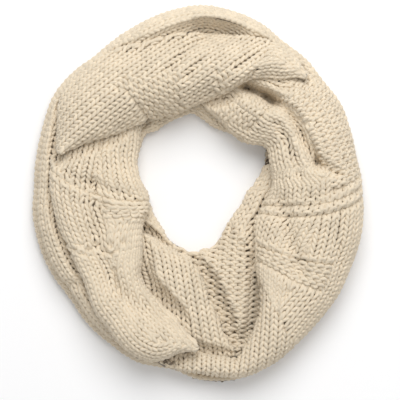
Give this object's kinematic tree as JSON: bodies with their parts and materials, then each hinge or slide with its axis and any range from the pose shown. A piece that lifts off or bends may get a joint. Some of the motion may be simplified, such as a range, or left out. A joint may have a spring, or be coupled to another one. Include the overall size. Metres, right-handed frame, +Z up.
{
  "type": "infinity scarf",
  "caption": "Chunky knitted infinity scarf, doubled into a ring and laid down flat in soft folds.",
  "frame": {"origin": "middle of the bounding box, on the surface that the scarf lies on", "axes": "+Z up, +Y to the back of the ring, where the broad fold crosses it, +X to the right seen from the front"},
  "size_m": [0.2999, 0.3445, 0.0582],
  "materials": {
    "chunky_knit": "matt chunky knit in cream wool and acrylic yarn, softly fuzzy"
  },
  "bodies": {
    "root": {"top_flap": "chunky_knit", "left_band": "chunky_knit", "right_band": "chunky_knit", "inner_fold": "chunky_knit", "inner_panel": "chunky_knit", "under_loop": "chunky_knit", "outer_turn": "chunky_knit", "hidden_turns": "chunky_knit"}
  },
  "joints": []
}
